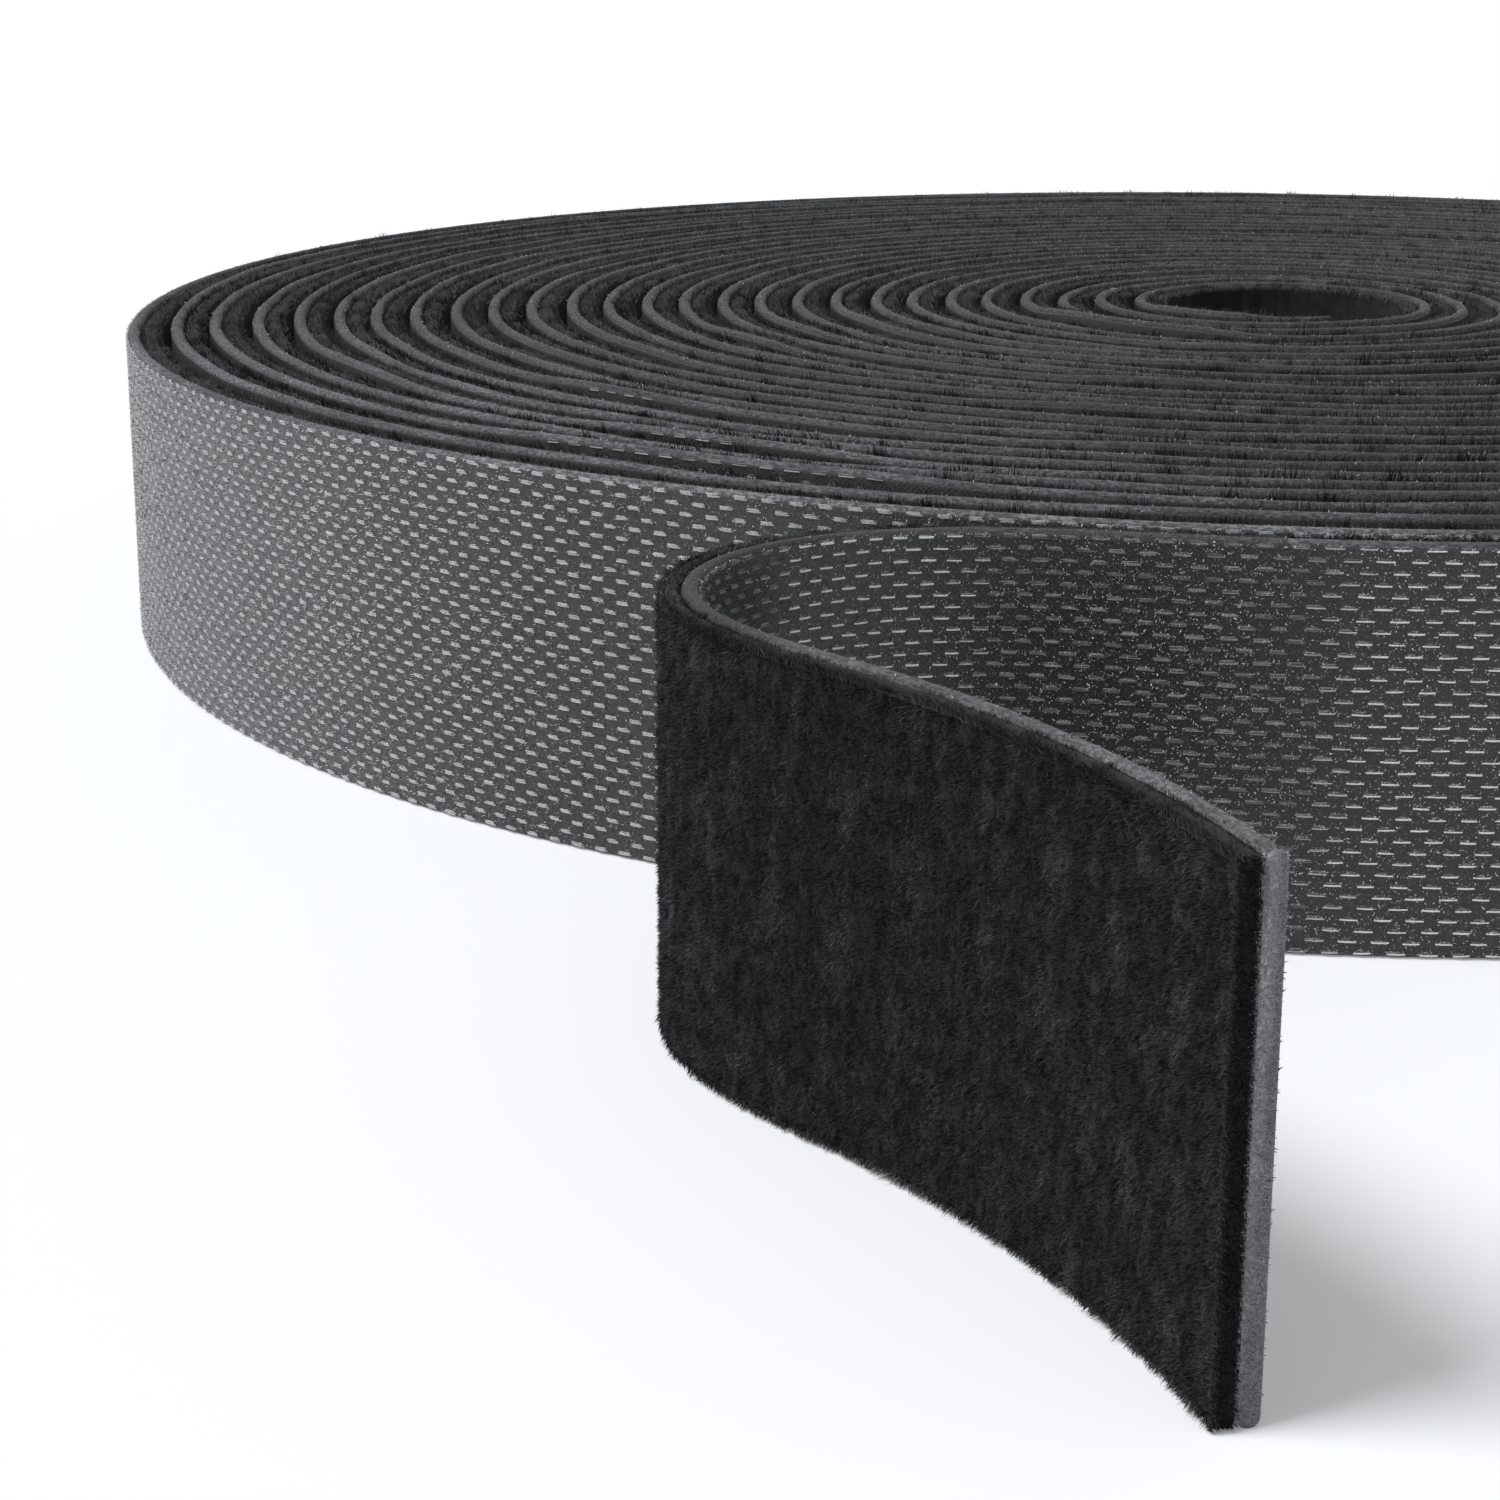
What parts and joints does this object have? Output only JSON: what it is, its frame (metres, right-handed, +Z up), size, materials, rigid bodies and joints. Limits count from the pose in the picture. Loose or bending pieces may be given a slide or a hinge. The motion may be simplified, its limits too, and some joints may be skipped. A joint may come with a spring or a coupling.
{
  "type": "hook and loop tape roll",
  "caption": "Roll of dark back-to-back hook and loop tape standing on its edge, coreless, with its free end peeled off the roll and folded back on itself.",
  "frame": {"origin": "middle of the bottom of the bounding box, on the surface that the roll stands on", "axes": "+Z up, along the roll's axis and the tape's width; -Y towards the folded free end; +X to the right seen from the free end"},
  "size_m": [0.128, 0.1674, 0.016],
  "materials": {
    "hook_web": "woven, with rows of pale raised dashes",
    "loop_web": "brushed pile"
  },
  "bodies": {
    "roll": {"hook_web_roll": "hook_web", "loop_web_roll": "loop_web"},
    "lead": {"hook_web_lead": "hook_web", "loop_web_lead": "loop_web", "hook_web_bend": "hook_web", "loop_web_bend": "loop_web"},
    "tail": {"hook_web_tail": "hook_web", "loop_web_tail": "loop_web"}
  },
  "joints": [
    {"name": "peel_hinge", "type": "hinge", "parent": "roll", "child": "lead", "pos_m": [-0.00474, -0.04571, 0.008], "axis": [0, 0, 1], "range_deg": [0, 40], "stiffness_Nm_per_rad": 0.001},
    {"name": "fold_hinge", "type": "hinge", "parent": "lead", "child": "tail", "pos_m": [-0.01955, -0.05134, 0.008], "axis": [0, 0, 1], "range_deg": [-90, 30], "stiffness_Nm_per_rad": 0.001, "deforming": ["hook_web_bend", "loop_web_bend"]}
  ]
}
